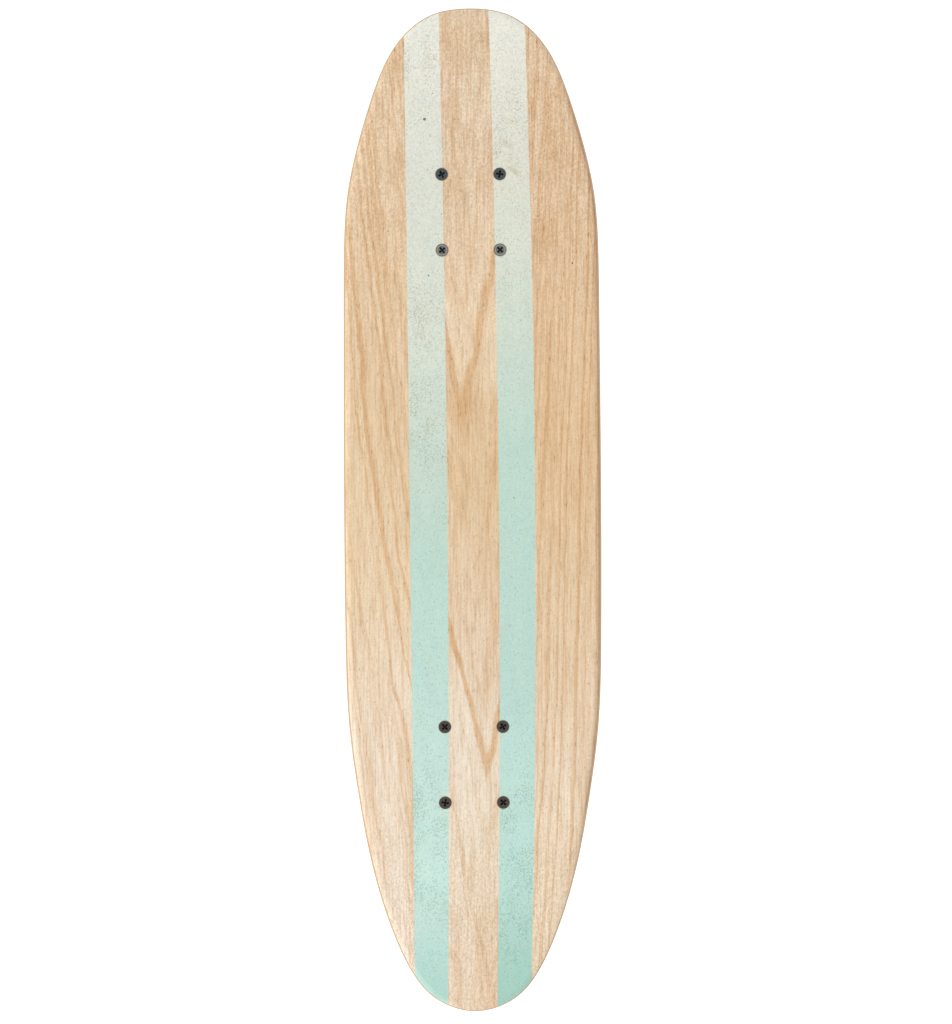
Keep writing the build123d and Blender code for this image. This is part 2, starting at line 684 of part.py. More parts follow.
def save_wheels():
    shield = ring(INNER_LAND + SHIELD_GAP, OUTER_LAND, *SHIELD_FACES)
    for end, truck in TRUCKS.items():
        axle_line = truck.from_local_coords(AXLE.origin)
        for side, sign in SIDES.items():
            name = f"{end}_{side}"
            centre = Plane(axle_line + Vector(sign * WHEEL_X, 0, 0), z_dir=(sign, 0, 0))
            bearings = [centre.offset(-BEARING_OFFSET), centre.offset(BEARING_OFFSET)]
            backs = [Plane(bearing.origin, z_dir=-bearing.z_dir) for bearing in bearings]
            save_at(wheel(), f"{name}_wheel", centre)
            save_at(race(OUTER_LAND, BEARING_RADIUS), f"{name}_bearing_outer_rings", *bearings)
            save_at(shield, f"{name}_bearing_shields", *bearings, *backs)
            save_at(balls(), f"{name}_bearing_balls", *bearings)
            save_at(cage(), f"{name}_bearing_cages", *bearings)


os.makedirs("parts", exist_ok=True)
save_deck()
save_truck_fasteners()
save_baseplates()
save_hangers()
save_wheels()

# The line that each truck steers about runs from the ring's middle to the pivot ball.
ring_centre = KINGPIN.offset(-RING_MIDDLE).origin
steer_angle = degrees(atan2(PIVOT[2] - ring_centre.Z, PIVOT[1] - ring_centre.Y))
for truck_end, truck_plane in TRUCKS.items():
    print(truck_end, "ring centre", truck_plane.from_local_coords(ring_centre), "steer angle", steer_angle)
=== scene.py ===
# Looks of the skateboard: an oak-faced deck with two pale green painted stripes, cast trucks and cream wheels.
import math

import bmesh
import bpy
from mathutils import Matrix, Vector


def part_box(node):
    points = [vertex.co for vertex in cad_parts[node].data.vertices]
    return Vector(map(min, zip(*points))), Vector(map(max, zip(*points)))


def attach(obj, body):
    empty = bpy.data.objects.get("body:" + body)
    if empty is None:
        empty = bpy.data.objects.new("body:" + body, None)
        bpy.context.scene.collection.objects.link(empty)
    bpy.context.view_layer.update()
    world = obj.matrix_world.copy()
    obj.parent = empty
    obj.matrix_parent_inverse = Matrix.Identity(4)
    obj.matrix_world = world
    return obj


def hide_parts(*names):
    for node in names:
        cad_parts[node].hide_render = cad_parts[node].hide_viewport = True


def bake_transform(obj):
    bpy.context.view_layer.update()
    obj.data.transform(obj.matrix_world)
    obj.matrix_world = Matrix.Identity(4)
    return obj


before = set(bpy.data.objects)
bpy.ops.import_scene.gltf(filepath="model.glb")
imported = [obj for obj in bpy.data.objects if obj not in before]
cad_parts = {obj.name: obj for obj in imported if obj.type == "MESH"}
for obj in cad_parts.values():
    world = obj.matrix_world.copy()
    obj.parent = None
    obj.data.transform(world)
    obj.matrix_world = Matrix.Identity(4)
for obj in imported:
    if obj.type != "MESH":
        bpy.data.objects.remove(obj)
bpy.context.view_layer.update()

ENDS = ("front", "rear")
SIDES = ("left", "right")
# Millimetres in a metre
MM = 1000.0


def centre(node):
    """The middle of a CAD node's box at rest."""
    low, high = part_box(node)
    return (low + high) / 2


DECK_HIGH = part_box("deck_top_veneer")[1]
DECK_TOP = DECK_HIGH.z
HALF_LENGTH_MM = MM * DECK_HIGH.y

# Bolt pattern, in millimetres
BOLT_X = 20.65
BOLT_SPREAD = 27.0
FRONT_BOLTS_Y = 212.0
REAR_BOLTS_Y = -181.5
BOLT_HEAD_RADIUS = 4.45

# A grain of grit is solid out to this share of its radius
GRAIN_CORE = 0.55


def srgb(red, green, blue):
    """A linear colour from the 0 to 255 values of a display."""
    linear = []
    for value in (red, green, blue):
        share = value / 255
        linear.append(share / 12.92 if share <= 0.04045 else ((share + 0.055) / 1.055) ** 2.4)
    return (*linear, 1.0)


class Graph:
    """The nodes of one material. Places are in millimetres. A value may be a number, a colour or a node's output."""

    def __init__(self, name, roughness=0.5, metallic=0.0):
        self.material = bpy.data.materials.new(name)
        self.material.use_nodes = True
        self.nodes = self.material.node_tree.nodes
        self.shader = self.nodes["Principled BSDF"]
        self.shader.inputs["Roughness"].default_value = roughness
        self.shader.inputs["Metallic"].default_value = metallic
        place = self.nodes.new("ShaderNodeTexCoord").outputs["Object"]
        scaled = self.add("ShaderNodeVectorMath", {0: place, "Scale": MM}, operation="SCALE")
        parts = self.add("ShaderNodeSeparateXYZ", {0: scaled.outputs[0]})
        self.x, self.y, self.z = parts.outputs

    def put(self, socket, value):
        if isinstance(value, bpy.types.NodeSocket):
            self.material.node_tree.links.new(value, socket)
        else:
            socket.default_value = value

    def add(self, kind, values, **settings):
        node = self.nodes.new(kind)
        for key, value in settings.items():
            setattr(node, key, value)
        for key, value in values.items():
            self.put(node.inputs[key], value)
        return node

    def math(self, operation, first, second=0.0):
        return self.add("ShaderNodeMath", {0: first, 1: second}, operation=operation).outputs[0]

    def times(self, first, second):
        return self.math("MULTIPLY", first, second)

    def plus(self, first, second):
        return self.math("ADD", first, second)

    def minus(self, first, second):
        return self.math("SUBTRACT", first, second)

    def size(self, value):
        return self.math("ABSOLUTE", value)

    def length(self, first, second):
        squares = self.plus(self.times(first, first), self.times(second, second))
        return self.math("SQRT", squares)

    def point(self, x, y, z=0.0):
        return self.add("ShaderNodeCombineXYZ", {0: x, 1: y, 2: z}).outputs[0]

    def stretched(self, across, along=None, depth=None):
        """The place, counted in the given sizes in millimetres. A size left out is the same as the one before."""
        along = along or across
        depth = depth or along
        return self.point(
            self.math("DIVIDE", self.x, across),
            self.math("DIVIDE", self.y, along),
            self.math("DIVIDE", self.z, depth),
        )

    def noise(self, vector, detail=2.0, roughness=0.5):
        values = {"Vector": vector, "Scale": 1.0, "Detail": detail, "Roughness": roughness}
        return self.add("ShaderNodeTexNoise", values).outputs[0]

    def smooth(self, value, low, high, start=0.0, end=1.0):
        """Turns smoothly from start to end as value goes from low to high."""
        values = {"Value": value, "From Min": low, "From Max": high, "To Min": start, "To Max": end}
        return self.add("ShaderNodeMapRange", values, interpolation_type="SMOOTHSTEP").outputs[0]

    def ramp(self, value, stops):
        """The colour at value, between (place, colour) stops."""
        node = self.add("ShaderNodeValToRGB", {0: value})
        elements = node.color_ramp.elements
        elements.remove(elements[-1])
        stops = sorted(stops)
        elements[0].position, elements[0].color = stops[0]
        for position, colour in stops[1:]:
            elements.new(position).color = colour
        return node.outputs[0]

    def mix(self, share, first, second, blend="MIX"):
        values = {0: share, 6: first, 7: second}
        return self.add("ShaderNodeMix", values, data_type="RGBA", blend_type=blend).outputs[2]

    def tint(self, share, colour, tone):
        """The colour multiplied by a tone, as far as share says."""
        return self.mix(share, colour, self.mix(1.0, colour, tone, "MULTIPLY"))

    def shade(self, colour, factor):
        """The colour made darker or lighter by a factor."""
        start = colour[:3] if isinstance(colour, tuple) else colour
        return self.add("ShaderNodeVectorMath", {0: start, "Scale": factor}, operation="SCALE").outputs[0]

    def specks(self, vector, density, low, high):
        """Round grains: one in each cell whose random number is under density."""
        cells = self.add("ShaderNodeTexVoronoi", {"Vector": vector, "Scale": 1.0})
        chance = self.add("ShaderNodeSeparateColor", {0: cells.outputs["Color"]})
        radius = self.smooth(chance.outputs[1], 0.0, 1.0, low, high)
        grain = self.smooth(cells.outputs["Distance"], radius, self.times(radius, GRAIN_CORE))
        return self.times(grain, self.math("LESS_THAN", chance.outputs[0], density))

    def bump(self, height, distance):
        values = {"Height": height, "Distance": distance, "Strength": 1.0}
        self.put(self.shader.inputs["Normal"], self.add("ShaderNodeBump", values).outputs[0])

    def done(self, colour, roughness=None):
        self.put(self.shader.inputs["Base Color"], colour)
        if roughness is not None:
            self.put(self.shader.inputs["Roughness"], roughness)
        return self.material


# --- Deck ---------------------------------------------------------------------------------------------------------

# Stops run from the tail, 0, to the nose, 1
CENTRE_WOOD = [
    (0.00, srgb(240, 219, 193)),
    (0.16, srgb(243, 227, 204)),
    (0.28, srgb(246, 232, 212)),
    (0.40, srgb(237, 212, 181)),
    (0.52, srgb(234, 206, 167)),
    (0.60, srgb(235, 207, 169)),
    (0.69, srgb(248, 228, 199)),
    (0.78, srgb(241, 218, 188)),
    (0.84, srgb(237, 213, 182)),
    (0.92, srgb(242, 220, 192)),
    (0.97, srgb(233, 206, 171)),
    (1.00, srgb(240, 216, 186)),
]
LEFT_WOOD = [
    (0.00, srgb(244, 228, 208)),
    (0.28, srgb(246, 229, 207)),
    (0.42, srgb(240, 216, 182)),
    (0.58, srgb(236, 209, 172)),
    (0.78, srgb(241, 216, 183)),
    (1.00, srgb(238, 213, 181)),
]
RIGHT_WOOD = [
    (0.00, srgb(243, 223, 196)),
    (0.24, srgb(246, 227, 201)),
    (0.42, srgb(237, 210, 174)),
    (0.58, srgb(238, 207, 166)),
    (0.78, srgb(237, 208, 173)),
    (1.00, srgb(241, 216, 185)),
]
LEFT_STRIPE = [
    (0.03, srgb(184, 223, 212)),
    (0.08, srgb(199, 230, 220)),
    (0.13, srgb(206, 237, 227)),
    (0.20, srgb(206, 234, 224)),
    (0.32, srgb(199, 229, 219)),
    (0.46, srgb(196, 224, 211)),
    (0.56, srgb(210, 226, 211)),
    (0.68, srgb(226, 233, 218)),
    (0.84, srgb(230, 232, 219)),
    (0.94, srgb(242, 242, 229)),
    (1.00, srgb(246, 245, 233)),
]
RIGHT_STRIPE = [
    (0.03, srgb(171, 214, 200)),
    (0.08, srgb(183, 221, 208)),
    (0.14, srgb(196, 232, 221)),
    (0.24, srgb(198, 231, 221)),
    (0.32, srgb(194, 225, 215)),
    (0.56, srgb(199, 226, 212)),
    (0.65, srgb(213, 229, 214)),
    (0.76, srgb(228, 233, 218)),
    (0.85, srgb(234, 233, 217)),
    (0.94, srgb(243, 242, 228)),
    (1.00, srgb(248, 247, 235)),
]
# How much grit lies on the paint, by the same stops
LEFT_GRIT = [(0.03, 0.10), (0.10, 0.55), (0.20, 0.62), (0.28, 0.30), (0.42, 0.14), (0.54, 0.30), (0.58, 0.62),
             (0.64, 0.38), (0.70, 0.50), (0.76, 0.16), (0.90, 0.30), (0.95, 0.70), (1.00, 0.35)]
RIGHT_GRIT = [(0.03, 0.14), (0.08, 0.66), (0.16, 0.62), (0.26, 0.28), (0.40, 0.14), (0.60, 0.16), (0.72, 0.24),
              (0.82, 0.26), (0.87, 0.52), (0.93, 0.34), (1.00, 0.28)]
# Edges of the stripes across the board, as constant, linear and square terms of the place along it
STRIPE_EDGES = {
    "left": ((-44.7, -2.1, -0.3), (-17.9, -1.3, -3.0)),
    "right": ((18.8, -1.1, -4.4), (44.6, -0.3, -5.6)),
}

# The middle of the board, away from the sandy texture of nose and tail
MIDDLE_SHARE = 0.5

# Where most values of a noise lie
NOISE_RANGE = (0.3, 0.7)
WIDE_RANGE = (0.25, 0.75)

# Growth rings: nested Vs whose tips wander from one (along, across) place to the other
V_TIPS = ((69.0, -6.7), (-185.0, 10.4))
V_WAVER_SIZE = (26.0, 60.0)
V_WAVER = 15.0
V_POWER = 1.12
V_STEEPNESS = 3.3
# Outside this half width the rings run almost along the board
V_HALF_WIDTH = 20.0
RIGHT_STRETCH = 0.14
LEFT_STRETCH = 0.035
RING_SPACING = 46.0
RING_DRIFT_SIZE = (9.0, 90.0)
RING_DRIFT = 0.9
RING_WIDTH = 60.0
RING_EDGE = (0.46, 0.66)
RING_ZONE = (15.0, 30.0)
RING_STRENGTHS = (0.42, 0.8)
# The strongest growth rings: place of the V's tip along the board, half width and strength
STRONG_RINGS = ((69.0, 20.0, 0.8), (-183.0, 17.0, 1.0), (-338.0, 14.0, 0.45))
STRONG_RING_CORE = 0.25
STRONG_RING_ZONE = (34.0, 22.0)

# Sizes of the oak's texture, across and along the board
PATCH_SIZE = (16.0, 110.0)
BLOTCH_SIZE = (15.0, 30.0)
STREAK_SIZE = (1.7, 46.0)
FIBRE_SIZE = (0.95, 11.0)
SAND_SIZE = (1.3, 1.9)
PORE_SIZE = (0.85, 5.5)
# The part of each noise that shows
PATCH_RANGE = (0.42, 0.75)
BLOTCH_RANGE = (0.45, 0.68)
DARK_STREAK_RANGE = (0.55, 0.3)
PALE_STREAK_RANGE = (0.45, 0.72)
PORE_RANGE = (0.62, 0.74)
# Tones that multiply the wood's colour
LATE_WOOD = srgb(236, 211, 180)
PATCH_TONE = srgb(243, 231, 215)
BLOTCH_TONE = srgb(238, 222, 200)
STREAK_TONE = srgb(238, 219, 195)
PORE_TONE = srgb(206, 170, 132)
# How strong each is. Pairs are for the middle and for the nose; the pores' pair is for pale and for dark rings
LATE_WOOD_SHARES = (0.92, 0.85)
PATCH_SHARE = 0.45
BLOTCH_SHARE = 0.5
STREAK_SHARES = (0.62, 0.75)
PORE_SHARES = (0.4, 0.8)
PALE_STREAK_LIGHT = (1.0, 1.05)
FIBRE_LIGHT = (0.92, 1.06)
# Where the sandy texture starts and is full, by the stops above, and its contrast
NOSE_ZONE = (0.6, 0.86)
TAIL_ZONE = (0.24, 0.1)
SAND = 0.055
NOSE_SAND = 0.085
TAIL_SAND = 0.075
STREAK_HEIGHT = 0.5
PORE_DEPTH = 0.6
WOOD_RELIEF = 0.00012

# Where the side's wood colours meet the middle's, across the board
LEFT_BLEND = (-34.0, -26.0)
RIGHT_BLEND = (26.0, 36.0)

# Grit in the clear coat over the wood
CLOUD_SIZE = (14.0, 22.0)
WOOD_GRIT_RANGE = (0.4, 0.8)
WOOD_GRIT_AMOUNT = (0.05, 0.32)
WOOD_GRIT_SIZE = (1.25, 1.35)
WOOD_GRIT_RADII = (0.2, 0.46)
WOOD_GRIT_SHARE = 0.34
WOOD_GRIT_TONE = srgb(134, 104, 70)

# Paint: rough edges, haze, ripple and cool and warm patches
EDGE_FUZZ_SIZE = (1.2, 1.6)
EDGE_FUZZ = 1.1
EDGE_BLUR = 0.25
HAZE_SIZE = (9.0, 30.0)
HAZE_RANGE = (0.2, 0.8)
HAZE_LIGHT = (0.975, 1.025)
WORN_ZONE = (0.55, 0.8)
RIPPLE_SIZE = (1.5, 1.9)
RIPPLE_DARK = (0.94, 0.91)
RIPPLE_LIGHT = (1.05, 1.08)
PAINT_PATCH_SIZE = (6.0, 8.0)
COOL_RANGE = (0.46, 0.6)
COOL_SHARE = 0.4
COOL_TONE = srgb(248, 255, 255)
WARM_RANGE = (0.5, 0.38)
WARM_SHARE = 0.3
WARM_TONE = srgb(255, 252, 240)

# Grit and dust in the clear coat over the paint
GRIT_CLOUD_RANGE = (0.32, 0.72)
GRIT_CLOUDS = (0.35, 1.45)
FINE_GRIT_SIZE = (1.15, 1.2)
FINE_GRIT_RADII = (0.25, 0.5)
FINE_GRIT_SHARE = 0.34
COARSE_GRIT_SIZE = (4.2, 4.4)
COARSE_GRIT_RADII = (0.09, 0.16)
COARSE_GRIT_PART = 0.25
COARSE_GRIT_SHARE = 0.55
COARSE_GRIT_TONE = srgb(66, 72, 60)
DUST_SIZE = (1.0, 1.15)
DUST_AMOUNT = (0.0, 0.9)
DUST_CUT = (0.68, 0.50)
DUST_EDGE = (-0.03, 0.06)
DUST_SHARE = 0.26
BROWN_ZONE = (0.4, 0.7)
GREEN_DIRT = srgb(96, 126, 112)
BROWN_DIRT = srgb(134, 124, 94)

# Scuffs by the right front bolts: place, half length, half width, lean of the long axis and strength
SCUFFS = (
    ((31.0, 241.0), 10.0, 2.6, -35.0, 0.75),
    ((28.5, 259.0), 11.0, 3.4, -25.0, 0.45),
)
SCUFF_CORE = 0.2
SCUFF_CLOUD_RANGE = (0.3, 0.6)
SCUFF_TONE = srgb(196, 184, 156)
# Chips in the finish: place, radius and colour
CHIPS = (
    ((-32.6, 278.3), 1.3, srgb(78, 90, 96)),
    ((72.1, 175.3), 0.8, srgb(72, 50, 40)),
    ((-30.5, 167.0), 0.7, srgb(70, 78, 72)),
    ((-59.0, 198.8), 0.6, srgb(120, 84, 60)),
    ((47.8, 208.9), 0.6, srgb(116, 88, 64)),
    ((-26.8, 296.6), 0.5, srgb(132, 104, 78)),
    ((-31.0, 242.5), 0.5, srgb(84, 88, 80)),
)
CHIP_CORE = 0.6
CHIP_SHARE = 0.85

# A darker ring of wood around each bolt head, and painted shade on the rounded rim of the right side
HOLE_RIM = (BOLT_HEAD_RADIUS + 0.9, BOLT_HEAD_RADIUS + 0.1)
HOLE_RIM_SHARE = 0.5
HOLE_RIM_TONE = srgb(226, 200, 168)
# Painted shade on the right side's rounded rim: where it fades out towards nose and tail, where it starts across the
# board, how deep below the top it grows, and how dark
SHADED_RIM_NOSE = (325.0, 270.0)
SHADED_RIM_TAIL = (-265.0, -200.0)
SHADED_RIM_ACROSS = (40.0, 75.0)
SHADED_RIM_DEPTH = 1.8
SHADED_RIM_SHARE = 0.9
SHADED_RIM_TONE = srgb(198, 178, 164)
# Relief of bare wood and of painted wood, and the sheen of the whole face
RELIEF_SHARES = (1.0, 0.4)
SHEEN_SIZE = (30.0, 60.0)
SHEEN = (0.46, 0.6)


def greys(stops):
    return [(place, (value, value, value, 1.0)) for place, value in stops]


def cathedral(graph):
    """A number that is the same along each growth ring, which run as nested Vs that point to the tail."""
    (start, start_x), (stop, stop_x) = V_TIPS
    middle = graph.smooth(graph.y, start, stop, start_x, stop_x)
    waver = graph.noise(graph.stretched(*V_WAVER_SIZE), detail=3.0, roughness=0.55)
    wander = graph.times(graph.minus(waver, 0.5), V_WAVER)
    offset = graph.plus(graph.minus(graph.x, middle), wander)
    steep = graph.times(graph.math("POWER", graph.size(offset), V_POWER), V_STEEPNESS)
    right = graph.math("MAXIMUM", graph.minus(graph.x, V_HALF_WIDTH), 0.0)
    left = graph.math("MAXIMUM", graph.minus(-V_HALF_WIDTH, graph.x), 0.0)
    right_spread = graph.times(graph.times(right, right), RIGHT_STRETCH)
    left_spread = graph.times(graph.times(left, left), LEFT_STRETCH)
    return graph.minus(graph.minus(graph.y, steep), graph.plus(right_spread, left_spread))


def ring_bands(graph, rings):
    """Dark late wood: one edge sharp and one soft, as nested Vs, with the few strong ones that the board has."""
    drift = graph.noise(graph.stretched(*RING_DRIFT_SIZE), detail=2.0)
    line = graph.plus(graph.math("DIVIDE", rings, RING_SPACING), graph.times(drift, RING_DRIFT))
    fine = graph.noise(graph.point(line, graph.math("DIVIDE", graph.x, RING_WIDTH)), detail=3.0, roughness=0.6)
    aside = graph.size(graph.x)
    bands = graph.smooth(fine, *RING_EDGE, 0.0, graph.smooth(aside, *RING_ZONE, *RING_STRENGTHS))
    inside = graph.smooth(aside, *STRONG_RING_ZONE)
    for place, width, strength in STRONG_RINGS:
        apart = graph.math("DIVIDE", graph.minus(rings, place), width)
        peak = graph.smooth(graph.size(apart), 1.0, STRONG_RING_CORE, 0.0, strength)
        bands = graph.math("MAXIMUM", bands, graph.times(peak, inside))
    return bands


def oak(graph, base, share):
    """Oak veneer over a base colour: rings, streaks, pale flecks and dark pores. Returns its colour and height."""
    bands = ring_bands(graph, cathedral(graph))
    patches = graph.noise(graph.stretched(*PATCH_SIZE), detail=2.0)
    blotches = graph.noise(graph.stretched(*BLOTCH_SIZE), detail=3.0, roughness=0.6)
    streaks = graph.noise(graph.stretched(*STREAK_SIZE), detail=3.0, roughness=0.65)
    fibres = graph.noise(graph.stretched(*FIBRE_SIZE), detail=2.0, roughness=0.6)
    sand = graph.noise(graph.stretched(*SAND_SIZE), detail=2.0, roughness=0.7)
    dashes = graph.noise(graph.stretched(*PORE_SIZE), detail=1.0)
    nose = graph.smooth(share, *NOSE_ZONE)
    tail = graph.smooth(share, *TAIL_ZONE)

    late = graph.times(bands, graph.smooth(nose, 0.0, 1.0, *LATE_WOOD_SHARES))
    colour = graph.tint(late, base, LATE_WOOD)
    colour = graph.tint(graph.smooth(patches, *PATCH_RANGE, 0.0, PATCH_SHARE), colour, PATCH_TONE)
    blotchy = graph.smooth(blotches, *BLOTCH_RANGE, 0.0, BLOTCH_SHARE)
    colour = graph.tint(graph.times(nose, blotchy), colour, BLOTCH_TONE)
    streaky = graph.smooth(streaks, *DARK_STREAK_RANGE, 0.0, graph.smooth(nose, 0.0, 1.0, *STREAK_SHARES))
    colour = graph.tint(streaky, colour, STREAK_TONE)

    light = graph.smooth(streaks, *PALE_STREAK_RANGE, *PALE_STREAK_LIGHT)
    light = graph.times(light, graph.smooth(fibres, *WIDE_RANGE, *FIBRE_LIGHT))
    rough = graph.plus(SAND, graph.plus(graph.times(nose, NOSE_SAND), graph.times(tail, TAIL_SAND)))
    light = graph.times(light, graph.plus(1.0, graph.times(rough, graph.smooth(sand, *NOISE_RANGE, -1.0, 1.0))))
    colour = graph.shade(colour, light)
    open_pores = graph.times(graph.smooth(dashes, *PORE_RANGE), graph.smooth(bands, 0.0, 1.0, *PORE_SHARES))
    colour = graph.tint(open_pores, colour, PORE_TONE)
    height = graph.minus(graph.times(streaks, STREAK_HEIGHT), graph.times(open_pores, PORE_DEPTH))
    return colour, height


def stripe_mask(graph, along, side, fuzz):
    """1 on the painted stripe, with a slightly rough edge."""
    mask = 1.0
    signs = (1.0, -1.0)
    for (constant, linear, square), sign in zip(STRIPE_EDGES[side], signs):
        edge = graph.plus(constant, graph.times(along, graph.plus(linear, graph.times(along, square))))
        inside = graph.times(graph.minus(graph.x, graph.plus(edge, fuzz)), sign)
        mask = graph.times(mask, graph.smooth(inside, -EDGE_BLUR, EDGE_BLUR))
    return mask


def stripe_paint(graph, share, clouds, stops, grit):
    """Pale green paint, rippled and patchy, with grit and dust caught in the clear coat."""
    haze = graph.noise(graph.stretched(*HAZE_SIZE), detail=3.0)
    ripple = graph.noise(graph.stretched(*RIPPLE_SIZE), detail=3.0, roughness=0.7)
    worn = graph.smooth(share, *WORN_ZONE)
    dark = graph.smooth(worn, 0.0, 1.0, *RIPPLE_DARK)
    pale = graph.smooth(worn, 0.0, 1.0, *RIPPLE_LIGHT)
    light = graph.times(graph.smooth(haze, *HAZE_RANGE, *HAZE_LIGHT), graph.smooth(ripple, *WIDE_RANGE, dark, pale))
    paint = graph.shade(graph.ramp(share, stops), light)
    patchy = graph.noise(graph.stretched(*PAINT_PATCH_SIZE), detail=4.0, roughness=0.65)
    paint = graph.tint(graph.smooth(patchy, *COOL_RANGE, 0.0, COOL_SHARE), paint, COOL_TONE)
    paint = graph.tint(graph.smooth(patchy, *WARM_RANGE, 0.0, WARM_SHARE), paint, WARM_TONE)

    amount = graph.times(graph.ramp(share, greys(grit)), graph.smooth(clouds, *GRIT_CLOUD_RANGE, *GRIT_CLOUDS))
    some = graph.times(amount, COARSE_GRIT_PART)
    fine = graph.specks(graph.stretched(*FINE_GRIT_SIZE), amount, *FINE_GRIT_RADII)
    coarse = graph.specks(graph.stretched(*COARSE_GRIT_SIZE), some, *COARSE_GRIT_RADII)
    grains = graph.noise(graph.stretched(*DUST_SIZE), detail=1.0)
    dust = graph.smooth(graph.minus(grains, graph.smooth(amount, *DUST_AMOUNT, *DUST_CUT)), *DUST_EDGE)
    dirt = graph.mix(graph.smooth(share, *BROWN_ZONE), GREEN_DIRT, BROWN_DIRT)
    paint = graph.mix(graph.times(dust, DUST_SHARE), paint, dirt)
    paint = graph.mix(graph.times(fine, FINE_GRIT_SHARE), paint, dirt)
    return graph.mix(graph.times(coarse, COARSE_GRIT_SHARE), paint, COARSE_GRIT_TONE)


def marked(graph, colour, clouds):
    """The colour with its scuffs and chips."""
    for (x, y), long, wide, lean, strength in SCUFFS:
        away_x, away_y = graph.minus(graph.x, x), graph.minus(graph.y, y)
        cosine, sine = math.cos(math.radians(lean)), math.sin(math.radians(lean))
        u = graph.plus(graph.times(away_x, cosine / long), graph.times(away_y, sine / long))
        v = graph.plus(graph.times(away_x, -sine / wide), graph.times(away_y, cosine / wide))
        spot = graph.smooth(graph.length(u, v), 1.0, SCUFF_CORE, 0.0, strength)
        colour = graph.mix(graph.times(spot, graph.smooth(clouds, *SCUFF_CLOUD_RANGE)), colour, SCUFF_TONE)
    for (x, y), radius, tone in CHIPS:
        away = graph.length(graph.minus(graph.x, x), graph.minus(graph.y, y))
        colour = graph.mix(graph.smooth(away, radius, radius * CHIP_CORE, 0.0, CHIP_SHARE), colour, tone)
    return colour


def depth_below_top(graph):
    """Millimetres below the deck's top face."""
    return graph.minus(MM * DECK_TOP, graph.z)


def bolt_distance(graph):
    """Millimetres to the nearest bolt's axis."""
    across = graph.minus(graph.size(graph.x), BOLT_X)
    rows = [
        graph.size(graph.minus(graph.size(graph.minus(graph.y, middle)), BOLT_SPREAD))
        for middle in (FRONT_BOLTS_Y, REAR_BOLTS_Y)
    ]
    return graph.length(across, graph.math("MINIMUM", *rows))


def top_veneer():
    """Oak face with both stripes, the grit caught in the clear coat, a darker ring around each bolt hole and painted
    shade on the right side's rounded rim.
    """
    graph = Graph("oak_top_with_stripes")
    along = graph.math("DIVIDE", graph.y, HALF_LENGTH_MM)
    share = graph.plus(graph.times(along, 0.5), 0.5)
    wood = graph.mix(graph.smooth(graph.x, *LEFT_BLEND), graph.ramp(share, LEFT_WOOD), graph.ramp(share, CENTRE_WOOD))
    wood = graph.mix(graph.smooth(graph.x, *RIGHT_BLEND), wood, graph.ramp(share, RIGHT_WOOD))
    wood, height = oak(graph, wood, share)

    clouds = graph.noise(graph.stretched(*CLOUD_SIZE), detail=3.0, roughness=0.6)
    wood_grit = graph.smooth(clouds, *WOOD_GRIT_RANGE, *WOOD_GRIT_AMOUNT)
    on_wood = graph.specks(graph.stretched(*WOOD_GRIT_SIZE), wood_grit, *WOOD_GRIT_RADII)
    colour = graph.mix(graph.times(on_wood, WOOD_GRIT_SHARE), wood, WOOD_GRIT_TONE)

    fuzz = graph.times(graph.minus(graph.noise(graph.stretched(*EDGE_FUZZ_SIZE)), 0.5), EDGE_FUZZ)
    painted = 0.0
    for side, stops, grit in (("left", LEFT_STRIPE, LEFT_GRIT), ("right", RIGHT_STRIPE, RIGHT_GRIT)):
        mask = stripe_mask(graph, along, side, fuzz)
        colour = graph.mix(mask, colour, stripe_paint(graph, share, clouds, stops, grit))
        painted = graph.plus(painted, mask)

    colour = marked(graph, colour, clouds)
    colour = graph.tint(graph.smooth(bolt_distance(graph), *HOLE_RIM, 0.0, HOLE_RIM_SHARE), colour, HOLE_RIM_TONE)
    # Painted shade: the right side's rounded rim darkens with depth below the top, away from nose and tail
    ends = graph.times(graph.smooth(graph.y, *SHADED_RIM_NOSE), graph.smooth(graph.y, *SHADED_RIM_TAIL))
    long_side = graph.times(graph.smooth(graph.x, *SHADED_RIM_ACROSS), ends)
    painted_rim_shade = graph.times(long_side, graph.smooth(depth_below_top(graph), 0.0, SHADED_RIM_DEPTH))
    colour = graph.tint(graph.times(painted_rim_shade, SHADED_RIM_SHARE), colour, SHADED_RIM_TONE)
    graph.bump(graph.times(height, graph.smooth(painted, 0.0, 1.0, *RELIEF_SHARES)), WOOD_RELIEF)
    sheen = graph.noise(graph.stretched(*SHEEN_SIZE), detail=3.0)
    return graph.done(colour, graph.smooth(sheen, *NOISE_RANGE, *SHEEN))


def bottom_veneer():
    """Plain oak face."""
    graph = Graph("oak_bottom", roughness=0.5)
    share = graph.plus(graph.times(graph.math("DIVIDE", graph.y, HALF_LENGTH_MM), 0.5), 0.5)
    colour, height = oak(graph, graph.ramp(share, RIGHT_WOOD), MIDDLE_SHARE)
    graph.bump(height, WOOD_RELIEF)
    return graph.done(colour)


CORE_PLIES = 5
DARK_PLY = srgb(196, 160, 118)
PALE_PLY = srgb(224, 196, 156)
GLUE = srgb(112, 78, 48)
GLUE_LINE = (0.45, 0.495)
GLUE_SHARE = 0.55
# A step between plies that lands each on its own value of the noise
PLY_STEP = 7.3
PLY_TONE_RANGE = (0.35, 0.65)
PLY_FIBRE_SIZE = (14.0, 14.0, 0.16)
PLY_FIBRE_LIGHT = (0.84, 1.1)
PLY_END_SIZE = 0.5
PLY_END_LIGHT = (0.95, 1.05)
PLY_RELIEF = 0.0001


